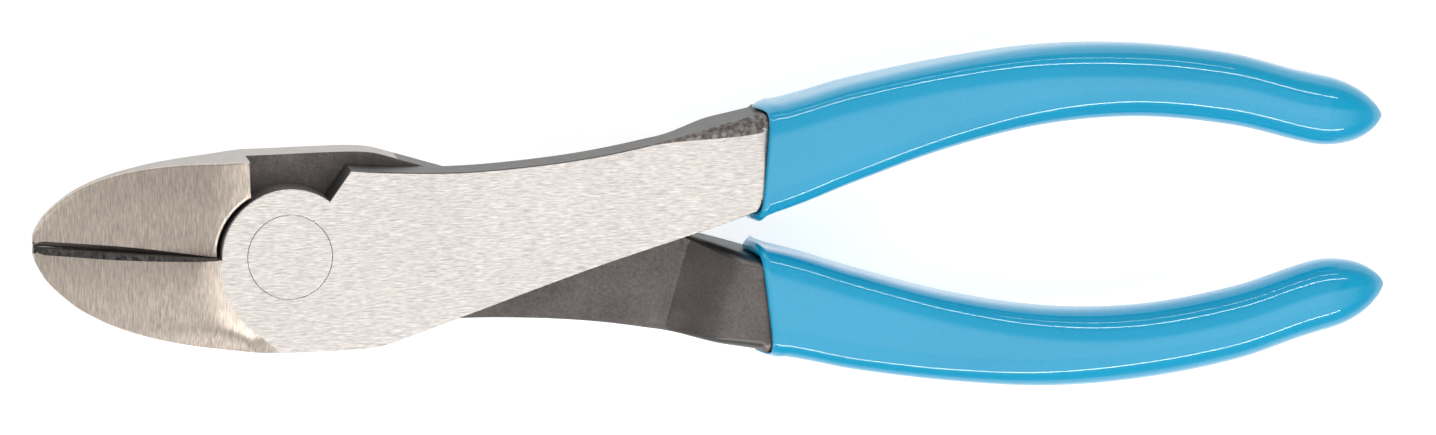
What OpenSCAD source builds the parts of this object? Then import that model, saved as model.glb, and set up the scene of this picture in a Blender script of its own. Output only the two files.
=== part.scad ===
// Diagonal cutting pliers, high-leverage pattern, with a lap joint and a head that curves down.
// Millimetres. The origin is on the pivot axis, in the plane of the joint's back face.
// +X runs to the handles, +Y across the tool and +Z up through the joint.
// "Upper" and "lower" name the two layers of the lap joint: the front half is the upper one.

/* [Joint] */
// Thickness of the joint, both halves together
joint_t = 12; // [11:0.5:12.5]
// Radius of the round boss on each half
boss_r = 9.8; // [9.4:0.1:10]
// Radius of the pivot rivet
rivet_r = 6.1; // [5:0.1:6.5]
// Running clearance of the rivet in the rear half, on the radius
rivet_clear = 0.05; // [0.02:0.01:0.08]
// Gap between the two lap faces
lap_gap = 0.04; // [0.02:0.02:0.1]
// Gap between a boss and the other half's jaw
boss_gap = 0.5; // [0.4:0.1:0.8]

/* [Jaws] */
// Reach of the jaws ahead of the pivot axis
jaw_reach = 35; // [33:0.5:35.5]
// Half width of the head across both jaws
head_half_w = 13.9; // [13.6:0.1:14.2]
// How far the back of the head curves down at the tip
head_drop = 7; // [6:0.5:8]
// Slope of the jaws' front faces towards the tip, in degrees
face_slope = 36; // [33:1:37]
// How far each cutting edge stands open of the middle plane, in degrees
edge_open = 0.1; // [0.1:0.05:1]
// Width of the small bevel beside each cutting edge
bevel_w = 0.55; // [0.3:0.05:0.6]

/* [Handles] */
// Distance from the pivot axis to the mouth of each grip
cuff_x = 68.5; // [68:0.5:70]
// Share of each grip's section that the metal core fills
core_fill = 0.77; // [0.7:0.01:0.8]
// Half thickness of a grip at its mouth
cuff_half_t = 6.3; // [6:0.1:6.5]
// Half thickness of a grip near its end
end_half_t = 4.8; // [4.4:0.1:5.2]
// Thickness of metal left off the hidden side of each handle root
root_step = 1; // [0.8:0.1:1.5]

/* [Hidden] */
$fn = 96;
lap_z = joint_t / 2;
eps = 0.01;
recess_x = -5.35;
shoulder_foot = [5.4, 7.28];
slope_x = -9.5;
jaw_floor = -head_drop - 1;
grip_sides = 16;
grip_rings = 30;
core_rings = 16;
grip_end_x = 160.2;
grip_start_x = 68;
grip_pitch = 14;
grip_last_x = 152;
end_len = 11.6;
end_power = [2.6, 0.72];
end_bend = 0.13;
end_min = 0.02;
thin_rate = 1.6;
ring_bias = 1.15;
core_end_x = 151;
core_lead = 4;
core_clear = 0.05;
crease_turn = 17;
crease_at = [58.6, 0.7];
ramp_run = 8;
ramp_reach = 30;
side_corner = [12.5, 0.2 - head_half_w];
blend_run = [2, 4];
blend_drop = [0.6, 1.8];
bevel_stop = 2;
bevel_over = 1;

// Outer edge of a jaw from the tip back to the widest part of the head: reach fraction, width fraction.
jaw_edge = [
    [1.003, 0.06], [0.99, 0.17], [0.955, 0.33], [0.9, 0.475], [0.82, 0.63],
    [0.7, 0.775], [0.56, 0.88], [0.4, 0.95], [0.24, 0.985], [0.16, 1]
];

// Edge of an upper arm that faces away from the other handle, from the shoulder to the grip.
arm_outer = [
    [9, 12.15], [14, 11.65], [24, 11.15], [34, 11.5], [44, 12.45], [54, 14.15], [62, 15.9], [70, 17.6]
];

// Edge of an upper arm that faces the other handle, from the head's side to the grip.
arm_inner = [[15.5, -12.85], [26, -9.4], [36, -6.1], [46, -2.95], [56, -0.1], [64, 2.3], [70, 4.3]];

// Inner and outer edge of an upper grip, at every grip_pitch from grip_start_x to grip_last_x.
grip_edges = [[1.75, 18], [6.5, 21], [10.75, 23.4], [13.4, 24.85], [13.85, 24.5], [11.95, 22.4], [8.3, 18.6]];

// Catmull-Rom curve through rows of numbers, u from 0 to len(rows) - 1.
function row_at(rows, i) = rows[min(max(i, 0), len(rows) - 1)];
function curve_part(a, b, c, d, t) =
    b + (c - a) * t / 2 + (2 * a - 5 * b + 4 * c - d) * t * t / 2 + (3 * b - a - 3 * c + d) * t * t * t / 2;
function curve_at(rows, u) =
    let (i = min(floor(u), len(rows) - 2))
    curve_part(row_at(rows, i - 1), row_at(rows, i), row_at(rows, i + 1), row_at(rows, i + 2), u - i);
function curve(rows, steps) =
    [for (i = [0 : (len(rows) - 1) * steps]) curve_at(rows, i / steps)];

// Turns a solid of the upper layer over about the tool's long axis, into the lower layer.
module turn_over() {
    translate([0, 0, joint_t]) rotate([180, 0, 0]) children();
}

// Outline of one jaw on the -Y side, open of the middle plane by edge_open.
module jaw_outline() {
    edge = [for (p = curve(jaw_edge, 4)) [-p[0] * jaw_reach, -p[1] * head_half_w]];
    tip = [-jaw_reach, -jaw_reach * tan(edge_open)];
    polygon(concat([[recess_x, recess_x * tan(edge_open)], tip], edge, [[recess_x, -head_half_w]]));
}

// Side view of the head: flat through the joint, sloping in front, curving down behind.
module head_profile() {
    blend = [for (i = [0, 1]) [slope_x - blend_run[i], joint_t - blend_drop[i]]];
    run = jaw_reach + eps + blend[1][0];
    tip = [blend[1][0] - run, blend[1][1] - run * tan(face_slope)];
    back = [for (t = [1 : -0.1 : 0]) [slope_x - t * (jaw_reach + slope_x), -head_drop * t * t]];
    polygon(concat([[0, joint_t], [slope_x, joint_t]], blend, [tip], back, [[0, 0]]));
}

// One jaw on the -Y side, before the other half's boss is cleared from it.
module jaw_blank() {
    intersection() {
        translate([0, 0, jaw_floor]) linear_extrude(joint_t - jaw_floor) jaw_outline();
        rotate([90, 0, 0]) linear_extrude(2 * head_half_w) head_profile();
    }
}

// Wedge that leaves the small bevel beside the cutting edge on the sloping face.
module edge_bevel() {
    start = [slope_x - blend_run[1], 0, joint_t - blend_drop[1]];
    run = (jaw_reach - bevel_stop + start[0]) / cos(face_slope);
    low = -2 * bevel_w;
    translate(start) rotate([0, -face_slope, 0]) rotate([90, 0, -90]) linear_extrude(run)
        polygon([
            [-bevel_over, bevel_over], [-bevel_over, low], [0, low], [bevel_w, 0], [bevel_w, bevel_over]
        ]);
}

module jaw() {
    difference() {
        jaw_blank();
        edge_bevel();
    }
}

// Room that an upper half leaves free for the lower half's boss.
module boss_space() {
    translate([0, 0, jaw_floor]) cylinder(r = boss_r + boss_gap, h = lap_z + lap_gap / 2 - jaw_floor);
}

// Boss and arm of the upper layer, as an outline.
module plate_outline() {
    circle(r = boss_r);
    polygon(concat(
        [[recess_x, 0], shoulder_foot],
        curve(arm_outer, 4),
        [for (i = [len(arm_inner) * 4 - 4 : -1 : 0]) curve_at(arm_inner, i / 4)],
        [side_corner, [recess_x, -head_half_w]]
    ));
}

module handle_side() {
    intersection() {
        plate_outline();
        translate([-2 * jaw_reach, -2 * head_half_w]) square([2 * jaw_reach + cuff_x, 4 * head_half_w]);
    }
}

module lap_plate() {
    translate([0, 0, lap_z + lap_gap / 2]) linear_extrude(lap_z - lap_gap / 2) handle_side();
}

// The handle root grows to full thickness behind the slanting crease where the arms part.
module handle_root() {
    intersection() {
        translate([0, 0, root_step]) linear_extrude(joint_t - root_step) handle_side();
        translate(crease_at) rotate([90, 0, crease_turn]) linear_extrude(4 * head_half_w, center = true)
            polygon([
                [0, lap_z + lap_gap / 2],
                [ramp_run, 0],
                [ramp_reach, 0],
                [ramp_reach, 2 * joint_t],
                [0, 2 * joint_t]
            ]);
    }
}

// Section of a handle at x: middle across the tool, half width, middle above the back face, half thickness.
function section(x) =
    let (
        e = curve_at(grip_edges, (min(x, grip_last_x) - grip_start_x) / grip_pitch),
        f = (x - cuff_x) / (grip_end_x - cuff_x)
    )
    [(e[0] + e[1]) / 2 - end_bend * max(0, x - grip_last_x), (e[1] - e[0]) / 2,
     lap_z + root_step / 2 * max(0, 1 - 2 * f),
     cuff_half_t + (end_half_t - cuff_half_t) * min(1, thin_rate * f)];

// Distances along a handle, closer together towards its end.
function stations(start_x, end_x, count) =
    [for (i = [0 : count]) start_x + (end_x - start_x) * sin(90 * pow(i / count, ring_bias))];

// Share of a grip's section that is left where its end tapers to a drip, over its last end_len.
function end_round(x) =
    let (u = max(0, x - grip_end_x + end_len) / end_len)
    max(end_min, pow(max(0, 1 - pow(u, end_power[0])), end_power[1]));

function rounded(a) = [sign(cos(a)) * sqrt(abs(cos(a))), sign(sin(a)) * sqrt(abs(sin(a)))];
function squared(a) = [cos(a), sin(a)] / max(abs(cos(a)), abs(sin(a)));

// One ring of a grip's outer skin, and one of the socket for the core.
function skin_ring(x) =
    let (s = section(x), k = end_round(x))
    [for (i = [0 : grip_sides - 1])
        let (q = rounded(360 * i / grip_sides)) [x, s[0] + s[1] * k * q[0], s[2] + s[3] * k * q[1]]];
function socket_ring(x) =
    let (s = section(x))
    [for (i = [0 : grip_sides - 1])
        let (q = squared(360 * i / grip_sides))
        [x, s[0] + (s[1] * core_fill + core_clear) * q[0], s[2] + (s[3] * core_fill + core_clear) * q[1]]];

function tube_faces(first, count) =
    [for (r = [0 : count - 1]) for (i = [0 : grip_sides - 1])
        let (j = (i + 1) % grip_sides, a = first + r * grip_sides)
        [a + grip_sides + i, a + grip_sides + j, a + j, a + i]];
function fan(first, hub) = [for (i = [0 : grip_sides - 1]) [first + i, hub, first + (i + 1) % grip_sides]];
function turned(faces) = [for (f = faces) [for (i = [len(f) - 1 : -1 : 0]) f[i]]];

// Metal core of an upper handle, as deep as its socket is long.
module core() {
    xs = concat([cuff_x - core_lead], stations(cuff_x, core_end_x, core_rings));
    back = [for (i = [len(xs) - 1 : -1 : 0]) xs[i]];
    intersection() {
        linear_extrude(2 * joint_t) polygon(concat(
            [for (x = xs) let (s = section(x)) [x, s[0] - s[1] * core_fill]],
            [for (x = back) let (s = section(x)) [x, s[0] + s[1] * core_fill]]
        ));
        translate([0, 2 * head_half_w, 0]) rotate([90, 0, 0]) linear_extrude(2 * head_half_w) polygon(concat(
            [for (x = xs) let (s = section(x)) [x, s[2] - s[3] * core_fill]],
            [for (x = back) let (s = section(x)) [x, s[2] + s[3] * core_fill]]
        ));
    }
}

// Vinyl sleeve of an upper handle: the outer skin and the socket, joined at the mouth.
module sleeve() {
    skin = [for (x = stations(cuff_x, grip_end_x, grip_rings)) for (p = skin_ring(x)) p];
    socket_end_x = core_end_x + core_clear;
    socket = [for (x = stations(cuff_x, socket_end_x, core_rings)) for (p = socket_ring(x)) p];
    n = len(skin);
    hubs = [for (x = [grip_end_x, socket_end_x]) let (s = section(x)) [x, s[0], s[2]]];
    hub = n + len(socket);
    polyhedron(concat(skin, socket, hubs), concat(
        tube_faces(0, grip_rings),
        fan(n - grip_sides, hub),
        turned(tube_faces(n, core_rings)),
        turned(fan(hub - grip_sides, hub + 1)),
        [for (i = [0 : grip_sides - 1]) let (j = (i + 1) % grip_sides) [n + j, n + i, i, j]]
    ));
}

module front_half() {
    color("gainsboro") difference() {
        union() {
            difference() {
                jaw();
                boss_space();
            }
            lap_plate();
            handle_root();
            core();
        }
        translate([0, 0, -eps]) cylinder(r = rivet_r, h = joint_t + 2 * eps);
    }
}

module rear_half() {
    color("dimgray") difference() {
        union() {
            difference() {
                mirror([0, 1, 0]) jaw();
                turn_over() boss_space();
            }
            turn_over() lap_plate();
            turn_over() handle_root();
            turn_over() core();
        }
        translate([0, 0, -eps]) cylinder(r = rivet_r + rivet_clear, h = joint_t + 2 * eps);
    }
}

module pivot_rivet() {
    color("lightgray") cylinder(r = rivet_r, h = joint_t);
}

module front_grip() {
    color("deepskyblue") sleeve();
}

module rear_grip() {
    color("deepskyblue") turn_over() sleeve();
}

front_half();
rear_half();
pivot_rivet();
front_grip();
rear_grip();
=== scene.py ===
import math

import bmesh
import bpy
import numpy as np
from bpy.props import FloatProperty, FloatVectorProperty, IntProperty, PointerProperty
from mathutils import Matrix, Vector
from mathutils.geometry import delaunay_2d_cdt


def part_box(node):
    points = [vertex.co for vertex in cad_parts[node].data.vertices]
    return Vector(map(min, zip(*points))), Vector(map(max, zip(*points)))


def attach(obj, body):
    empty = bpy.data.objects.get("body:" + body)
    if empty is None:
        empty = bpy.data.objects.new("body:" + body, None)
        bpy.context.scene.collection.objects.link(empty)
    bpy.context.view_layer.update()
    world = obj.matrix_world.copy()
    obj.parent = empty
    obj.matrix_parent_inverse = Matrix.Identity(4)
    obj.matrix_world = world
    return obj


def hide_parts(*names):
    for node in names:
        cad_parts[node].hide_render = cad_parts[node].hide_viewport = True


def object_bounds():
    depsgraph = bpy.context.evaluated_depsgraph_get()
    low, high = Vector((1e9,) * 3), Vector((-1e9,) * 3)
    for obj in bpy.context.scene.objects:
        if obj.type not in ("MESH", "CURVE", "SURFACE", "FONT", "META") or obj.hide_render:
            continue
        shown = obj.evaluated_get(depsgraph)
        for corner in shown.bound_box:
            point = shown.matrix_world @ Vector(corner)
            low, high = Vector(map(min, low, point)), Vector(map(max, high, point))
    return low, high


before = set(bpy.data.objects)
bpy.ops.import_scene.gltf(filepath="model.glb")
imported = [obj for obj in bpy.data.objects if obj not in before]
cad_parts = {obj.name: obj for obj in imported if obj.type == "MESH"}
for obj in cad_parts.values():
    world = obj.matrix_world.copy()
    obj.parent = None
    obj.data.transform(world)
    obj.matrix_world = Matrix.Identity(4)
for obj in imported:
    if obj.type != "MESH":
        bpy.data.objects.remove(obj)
CAD_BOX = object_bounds()

bl_info = {
    "name": "Diagonal cutting pliers",
    "version": (1, 0, 0),
    "blender": (4, 5, 0),
    "location": "View3D > Sidebar > Pliers",
    "description": "Builds lap-joint diagonal cutting pliers with dipped vinyl grips",
    "category": "Add Mesh",
}

# Outlines and heights below are worked out in millimetres; meshes are written in metres.
MM = 0.001

RIVET_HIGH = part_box("pivot_rivet")[1]
FRONT_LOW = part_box("front_half")[0]
GRIP_LOW, GRIP_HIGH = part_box("front_grip")

# Finishes of a half, by material index.
# The oxide finish is real oxide inside the joint, and also painted shade in the narrow gaps and on the rear
# cutting bevel.
GROUND, JAW, SIDE, ARM, OXIDE_AND_GAP_SHADE, FORGED, BEVEL = range(7)

# Half of the tool in the plan: jaw on the -Y side, handle on the +Y side, as the front half lies.
# Outer edge of a jaw from the tip back: share of the jaw's reach, share of the head's half width.
JAW_EDGE = [
    (1.003, 0.06), (0.99, 0.17), (0.955, 0.33), (0.9, 0.475), (0.82, 0.63),
    (0.7, 0.775), (0.56, 0.88), (0.4, 0.95), (0.24, 0.985), (0.16, 1),
]
# Outer and inner edge of an arm, from the joint into its grip.
ARM_OUTER = [
    (9, 12.15), (14, 11.65), (24, 11.15), (34, 11.5),
    (44, 12.45), (54, 14.15), (62, 15.9), (70, 17.6),
]
ARM_INNER = [(15.5, -12.8), (26, -9.4), (36, -6.1), (46, -2.95), (56, -0.1), (64, 2.3), (70, 4.3)]
# Inner and outer edge of a grip, at every GRIP_PITCH from GRIP_FIRST.
GRIP_EDGES = [
    (1.75, 18), (6.5, 21), (10.75, 23.4), (13.4, 24.85), (13.85, 24.5), (11.95, 22.4), (8.3, 18.6),
]
GRIP_FIRST = 68
GRIP_PITCH = 14
GRIP_LAST = 152
# How fast a grip's middle turns inward past GRIP_LAST.
END_BEND = 0.13
# Length of a grip's rounded tip.
TIP_LENGTH = 11.6
# Where the flat boss of the front half meets its sloping jaw.
JAW_BORDER = [(-10.05, -1.9), (-9.6, -4.3), (-8.35, -7.2), (-5.95, -10.2), (-3.4, -12.3)]
BORDER_END = (-1.7, -13.88)
# Where the boss meets the shoulder behind it.
SHOULDER_FOOT = (5.4, 7.28)
# Side of the head, round the corner to the arm's inner edge.
SIDE_CORNER = [(5.0, -13.9), (9.5, -13.85), (12.4, -13.62), (14.2, -13.22), (15.5, -12.8)]
# Slanting crease on the lap face: a point on it, its turn, and rows of points over the ramp behind it.
CREASE_FOOT = (58.6, 0.7)
CREASE_TURN = math.radians(17)
RAMP_ROWS = (-1.5, -1.0, -0.5, 0.0, 0.5, 1.0, 1.6, 3.0, 4.4, 5.8, 7.2, 8.5, 10.0, 11.5, 13.0)
# Where the ramp starts and ends, as runs past the crease, and the low ridge that marks the crease.
RAMP_SPAN = (-0.4, 8.5)
RIDGE_HEIGHT = 0.22
RIDGE_WIDTH = 0.55
# Pitch of the points that carry a curved face.
GRID_PITCH = 0.7
# Straight wall of the recess beside a boss, and the points round the recess before it.
RECESS_X = -5.35
ARC_POINTS = 18
# Where the rear jaw's face leaves the flat, and where the head's back does.
SLOPE_START = -5.3
BACK_START = -9.5
# First slope of a jaw's face, and the run over which it grows to the full slope.
FRONT_ENTRY = (math.radians(11), 4.0)
REAR_ENTRY = (math.radians(12), 6.0)
# How much less than the front jaw the rear one slopes.
REAR_EASE = math.radians(3.5)
# How far the outer edge of the front and of the rear jaw's face rolls down.
FRONT_ROLL = 1.8
REAR_ROLL = 0.7
# Width of the worn edge along the recess.
WORN_EDGE = 0.45
# Growth of the arm's edges towards the grip, as width and depth: the forged chamfer on the outer edge
# of the ground side, and both edges of the lap side.
FORGED_CHAMFER = (2.2, 1.9)
LAP_ROUND = (1.3, 2.0)
# How far the head's back stays above its lowest allowed point.
BACK_MARGIN = 0.02
# Where the metal core of a grip ends, and the play between the two.
CORE_END = 151
CORE_PLAY = 0.06
# Mouth of a grip: how far its sides reach past its flats, its slant, and its socket as middle y and z,
# half width and half thickness.
MOUTH_FLARE = 1.9
MOUTH_LEAN = 0.105
MOUTH_SOCKET = (10.55, 6.5, 6.9, 5.6)
# Powers of the rounded section, the higher the squarer: in the socket, on the lip, and on the skin
# at its slim end and as much more at its mouth.
SOCKET_POWER = 9.0
LIP_POWER = 8.0
SKIN_POWER = 2.5
MOUTH_POWER = 2.3
# Swelling of the lip, and how closely the skin fills its outline, as shares of the half width.
LIP_BEAD = 0.03
SKIN_FIT = 0.996
# The rivet fits the front half this closely. Its end and its holes have the same small edge.
RIVET_FIT = 0.004
RIVET_SIDES = 96
RIVET_RIM = (0.09, 0.09, 1.0)
# Steps of a rim from its face to its wall.
RIM_STEPS = 6
# Edges that bend more than this stay sharp.
SHARP_TURN = math.radians(22)
# Sizes that each ring of a sleeve carries: name, column of its row and unit.
RING_SIZES = [
    ("half_width", 3, MM), ("half_thick", 4, MM), ("power", 5, 1), ("lean", 6, 1), ("flare", 7, MM),
]


class JointSize(bpy.types.PropertyGroup):
    """Sizes of the lap joint."""

    thickness: FloatProperty(
        name="Thickness", description="Both halves together", unit="LENGTH", default=RIVET_HIGH.z)
    boss_radius: FloatProperty(
        name="Boss radius", description="Round boss on each half", unit="LENGTH", default=9.8 * MM)
    boss_gap: FloatProperty(
        name="Boss gap", description="Between a boss and the other jaw", unit="LENGTH", default=0.5 * MM)
    rivet_radius: FloatProperty(
        name="Rivet radius", description="Pivot rivet", unit="LENGTH", default=RIVET_HIGH.x)
    rivet_play: FloatProperty(
        name="Rivet play", description="Clearance in the rear half", unit="LENGTH", default=0.05 * MM)
    lap_gap: FloatProperty(
        name="Lap gap", description="Between the two lap faces", unit="LENGTH", default=0.04 * MM)


class HeadSize(bpy.types.PropertyGroup):
    """Sizes of the jaws."""

    reach: FloatProperty(
        name="Reach", description="From the pivot axis to the tip", unit="LENGTH", default=35 * MM)
    half_width: FloatProperty(
        name="Half width", description="Half the width of the head", unit="LENGTH", default=-FRONT_LOW.y)
    drop: FloatProperty(
        name="Drop", description="How far the head's back curves down", unit="LENGTH", default=-FRONT_LOW.z)
    slope: FloatProperty(
        name="Face slope", description="Slope of the jaw faces", subtype="ANGLE", default=math.radians(36))
    edge_open: FloatProperty(
        name="Edge opening", description="Each cutting edge from the middle plane", subtype="ANGLE",
        default=math.radians(0.1))
    groove: FloatProperty(
        name="Groove", description="Bevel beside each cutting edge, at the tip", unit="LENGTH",
        default=0.85 * MM)


class HandleSize(bpy.types.PropertyGroup):
    """Sizes of the handles and their grips."""

    mouth_x: FloatProperty(
        name="Grip mouth", description="From the pivot axis to a grip's mouth", unit="LENGTH",
        default=GRIP_LOW.x)
    end_x: FloatProperty(
        name="Grip end", description="From the pivot axis to a grip's end", unit="LENGTH",
        default=GRIP_HIGH.x)
    core_share: FloatProperty(
        name="Core share", description="Share of a grip's section that metal fills", default=0.77)
    mouth_half_t: FloatProperty(
        name="Mouth half thickness", description="Of a grip at its mouth", unit="LENGTH", default=6.3 * MM)
    end_half_t: FloatProperty(
        name="End half thickness", description="Of a grip near its end", unit="LENGTH", default=4.8 * MM)
    root_step: FloatProperty(
        name="Root step", description="Metal left off the hidden side of the handle root", unit="LENGTH",
        default=1 * MM)
    sides: IntProperty(name="Sides", description="Faces round a grip", default=120, min=24)


class Finish(bpy.types.PropertyGroup):
    """Colours of the steel and the vinyl."""

    ground: FloatVectorProperty(
        name="Ground steel", description="Flat ground faces", subtype="COLOR", default=(0.63, 0.595, 0.57))
    jaw: FloatVectorProperty(
        name="Jaw steel", description="Cross-ground jaws", subtype="COLOR", default=(0.735, 0.64, 0.56))
    side: FloatVectorProperty(
        name="Side steel", description="Sides of the head", subtype="COLOR", default=(0.43, 0.41, 0.39))
    arm: FloatVectorProperty(
        name="Arm steel", description="Sides of the arms", subtype="COLOR", default=(0.125, 0.122, 0.119))
    # Real oxide inside the joint, and also painted shade in the gap round the boss, between the cutting
    # edges and on the rear cutting bevel.
    oxide: FloatVectorProperty(
        name="Oxide", description="Dark faces inside the joint", subtype="COLOR",
        default=(0.13, 0.115, 0.11))
    forged: FloatVectorProperty(
        name="Forged skin", description="Rough skin left from forging", subtype="COLOR",
        default=(0.2, 0.18, 0.17))
    vinyl: FloatVectorProperty(
        name="Vinyl", description="Dipped grips", subtype="COLOR", default=(0.0, 0.335, 0.575))


def in_mm(group):
    """The settings of a group as a dict, with every length in millimetres."""
    values = {}
    for prop in group.bl_rna.properties:
        if prop.identifier in ("rna_type", "name"):
            continue
        value = getattr(group, prop.identifier)
        values[prop.identifier] = value / MM if prop.unit == "LENGTH" else value
    return values


# ---------------------------------------------------------------- curves and sections


def curve_at(rows, u):
    """A point on the smooth curve through rows of numbers, u from 0 to len(rows) - 1."""
    rows = np.asarray(rows, float)
    i = min(int(u), len(rows) - 2)
    a, b, c, d = (rows[min(max(k, 0), len(rows) - 1)] for k in (i - 1, i, i + 1, i + 2))
    t = u - i
    square, cube = 2 * a - 5 * b + 4 * c - d, 3 * b - a - 3 * c + d
    return b + (c - a) * t / 2 + square * t * t / 2 + cube * t**3 / 2


def curve(rows, steps):
    """The smooth curve through rows, as points, with this many steps between two rows."""
    return [tuple(curve_at(rows, i / steps)) for i in range((len(rows) - 1) * steps + 1)]


def rounded_point(point):
    """A plan point on the grid that all meshes share."""
    return round(float(point[0]), 5), round(float(point[1]), 5)


def smooth_step(value, low, high):
    """0 below low, 1 above high and smooth between them."""
    t = np.clip((np.asarray(value, float) - low) / (high - low), 0, 1)
    return t * t * (3 - 2 * t)


def section(x, size):
    """Middle y, half width, middle z and half thickness of an upper handle at x."""
    inner, outer = curve_at(GRIP_EDGES, (min(x, GRIP_LAST) - GRIP_FIRST) / GRIP_PITCH)
    share = (x - size["mouth_x"]) / (size["end_x"] - size["mouth_x"])
    middle = (inner + outer) / 2 - END_BEND * max(0, x - GRIP_LAST)
    lift = size["root_step"] / 2 * min(1, max(0, 1 - 2 * share))
    growth = size["end_half_t"] - size["mouth_half_t"]
    half_t = size["mouth_half_t"] + growth * min(1, max(0, 1.6 * share))
    return middle, (outer - inner) / 2, size["thickness"] / 2 + lift, half_t


def distance_to(line, x, y):
    """Distance of points from a polyline."""
    points = np.stack([np.ravel(x), np.ravel(y)], -1)[:, None, :]
    line = np.asarray(line, float)
    start, run = line[:-1], np.diff(line, axis=0)
    t = np.clip(((points - start) * run).sum(-1) / (run * run).sum(-1), 0, 1)
    near = start + t[..., None] * run
    return np.sqrt(((points - near) ** 2).sum(-1)).min(1).reshape(np.shape(x))


def inside(loop, x, y):
    """Whether points are inside a closed loop."""
    loop = np.asarray(loop, float)
    ax, ay = loop[:, 0], loop[:, 1]
    bx, by = np.roll(ax, -1), np.roll(ay, -1)
    x, y = np.asarray(x, float)[..., None], np.asarray(y, float)[..., None]
    with np.errstate(divide="ignore", invalid="ignore"):
        crossing = ((ay > y) != (by > y)) & (x < (bx - ax) * (y - ay) / (by - ay) + ax)
    return crossing.sum(-1) % 2 == 1


# ---------------------------------------------------------------- shape of a half


class HalfShape:
    """Plan and heights of one half of the tool, jaw on the -Y side and handle on the +Y side."""

    def __init__(self, settings, upper):
        self.size = {**in_mm(settings.joint), **in_mm(settings.head), **in_mm(settings.handle)}
        self.upper = upper
        size = self.size
        self.recess_r = size["boss_radius"] + size["boss_gap"]
        self.slope = size["slope"] if upper else size["slope"] - REAR_EASE
        corner_x = -size["boss_radius"]
        self.border = [(corner_x, 3.0), (corner_x, -self.edge_y(-corner_x))]
        self.border += curve([self.border[1]] + JAW_BORDER + [BORDER_END], 5)[1:]
        self.border = [rounded_point(p) for p in self.border + [(0.3, -16.0)]]
        foot = (-self.recess_r, -self.edge_y(self.recess_r))
        low = math.degrees(math.acos(RECESS_X / self.recess_r))
        turns = np.radians(np.linspace(180 + math.degrees(size["edge_open"]), 360 - low, ARC_POINTS))
        arc = [(self.recess_r * math.cos(a), self.recess_r * math.sin(a)) for a in turns]
        wall = [(RECESS_X, y) for y in np.linspace(arc[-1][1], -size["half_width"], 6)[1:]]
        self.step = [rounded_point(p) for p in [foot] + arc[1:] + wall]
        self.foot = self.step[0]

    def edge_y(self, run):
        """How far the cutting edge is from the middle plane after a run from the pivot axis."""
        return run * math.tan(self.size["edge_open"])

    # Heights, in millimetres above the joint's back face.

    def slide(self, run, first, blend):
        """How far a face has dropped after a run, its slope growing from first to full over blend."""
        run = np.maximum(run, 0)
        rate = (self.slope - first) / blend
        turn = first + rate * np.minimum(run, blend)
        curved = (math.log(math.cos(first)) - np.log(np.cos(turn))) / rate
        return curved + np.maximum(run - blend, 0) * math.tan(self.slope)

    def jaw_face(self, x, y):
        """Ground face of the jaw: it leaves the flat at the border, or along a straight line."""
        top = self.size["thickness"]
        side = -y / self.size["half_width"]
        if self.upper:
            run = distance_to(self.border, x, y) * self.zone(x, y, False)
            roll = FRONT_ROLL * smooth_step(side, 0.7, 1.12) * smooth_step(run, 0, 4)
            return top - self.slide(run, *FRONT_ENTRY) - roll
        near = distance_to(self.step, x, y)
        worn = 0.6 * WORN_EDGE * np.maximum(1 - near / WORN_EDGE, 0) ** 2
        roll = REAR_ROLL * smooth_step(side, 0.4, 1.25)
        return top - self.slide(SLOPE_START - np.asarray(x, float), *REAR_ENTRY) - worn - roll

    def jaw_back(self, x, y):
        """Back of the jaw, curving down to the tip."""
        share = np.maximum(BACK_START - np.asarray(x, float), 0) / (self.size["reach"] + BACK_START)
        return -(self.size["drop"] - BACK_MARGIN) * share**2

    def core_heights(self, x):
        """Lowest and highest of the metal core, and how far the arm has turned into it."""
        flat = np.ravel(np.asarray(x, float))
        rows = np.array([section(v, self.size) for v in np.clip(flat, 60, None)]).reshape(-1, 4)
        half = rows[:, 3] * self.size["core_share"]
        low = (rows[:, 2] - half).reshape(np.shape(x))
        high = (rows[:, 2] + half).reshape(np.shape(x))
        start = self.size["mouth_x"]
        return low, high, smooth_step(x, start + 0.4, start + 2.4)

    def ground_height(self, x, y):
        """Flat ground face of an upper half, running into the core under the grip."""
        _, high, share = self.core_heights(x)
        return self.size["thickness"] * (1 - share) + high * share

    def crease_run(self, x, y):
        """Distance of a point past the slanting crease on the lap face."""
        across = (x - CREASE_FOOT[0]) * math.cos(CREASE_TURN)
        return across + (y - CREASE_FOOT[1]) * math.sin(CREASE_TURN)

    def lap_height(self, x, y):
        """Lap face of an upper half: flat, then a ramp behind the crease down to the handle root."""
        lap = (self.size["thickness"] + self.size["lap_gap"]) / 2
        run = self.crease_run(x, y)
        ramp = lap + (self.size["root_step"] - lap) * smooth_step(run, *RAMP_SPAN)
        ramp = ramp + RIDGE_HEIGHT * np.exp(-((run / RIDGE_WIDTH) ** 2))
        low, _, share = self.core_heights(x)
        return ramp * (1 - share) + low * share

    def zone(self, x, y, stepped):
        """True where a point belongs to the jaw, on the stepped side or the smooth one."""
        if stepped:
            return (np.asarray(x) < RECESS_X) & (np.hypot(x, y) > self.recess_r)
        if not self.upper:
            return np.asarray(x) < BACK_START
        return inside(self.border + [(-60, -16), (-60, 3)], x, y)

    def height(self, x, y, top):
        """Height of the top or the bottom face in the jaw and in the plate, as a pair."""
        face = self.jaw_face(x, y) if top else self.jaw_back(x, y)
        if self.upper:
            return face, (self.ground_height if top else self.lap_height)(x, y)
        other = (self.lap_height if top else self.ground_height)(x, y)
        return face, self.size["thickness"] - other

    # Plan.

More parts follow.
